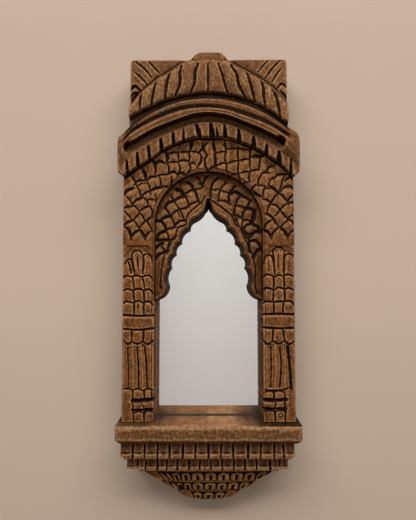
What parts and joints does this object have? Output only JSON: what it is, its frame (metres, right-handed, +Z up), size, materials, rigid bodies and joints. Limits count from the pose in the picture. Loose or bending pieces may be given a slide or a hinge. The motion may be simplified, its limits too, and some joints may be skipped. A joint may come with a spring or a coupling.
{
  "type": "carved wooden wall mirror",
  "caption": "Tall wall mirror in a carved wooden frame: ribbed dome and arched toothed eave over a cusped arch, carved posts, a projecting shelf and a stepped petal drop below.",
  "frame": {"origin": "on the wall plane behind the mirror, midway across its width, near mid height", "axes": "+Z up, +Y into the wall, -Y out to the viewer, +X to the viewer's right"},
  "size_m": [0.245, 0.054, 0.6126],
  "materials": {
    "carved_wood": "stained brown hardwood, satin, worn pale on the arrises and dark in the carving",
    "mirror": "plain silvered float glass",
    "hardboard": "bare hardboard, matt",
    "dowel_wood": "bare beech dowel",
    "steel": "plain zinc-plated steel"
  },
  "bodies": {
    "frame": {"crown_block": "carved_wood", "eave_block": "carved_wood", "arch_head": "carved_wood", "left_post": "carved_wood", "right_post": "carved_wood", "cusped_arch": "carved_wood", "sill_ledge": "carved_wood", "upper_tooth_rail": "carved_wood", "lower_tooth_rail": "carved_wood", "base_corbel": "carved_wood", "mirror_glass": "mirror", "back_board": "hardboard", "crown_dowels": "dowel_wood", "eave_dowels": "dowel_wood", "post_dowels_top": "dowel_wood", "post_dowels_bottom": "dowel_wood", "back_brads": "steel", "base_screws": "steel", "corbel_screws": "steel", "eave_nails": "steel", "hanger_plate": "steel", "hanger_screws": "steel"},
    "ring": {"hanger_ring": "steel"}
  },
  "joints": [
    {"name": "ring_swing", "type": "hinge", "parent": "frame", "child": "ring", "pos_m": [0, -0.0056, 0.228], "axis": [1, 0, 0], "range_deg": [0, 180]}
  ]
}
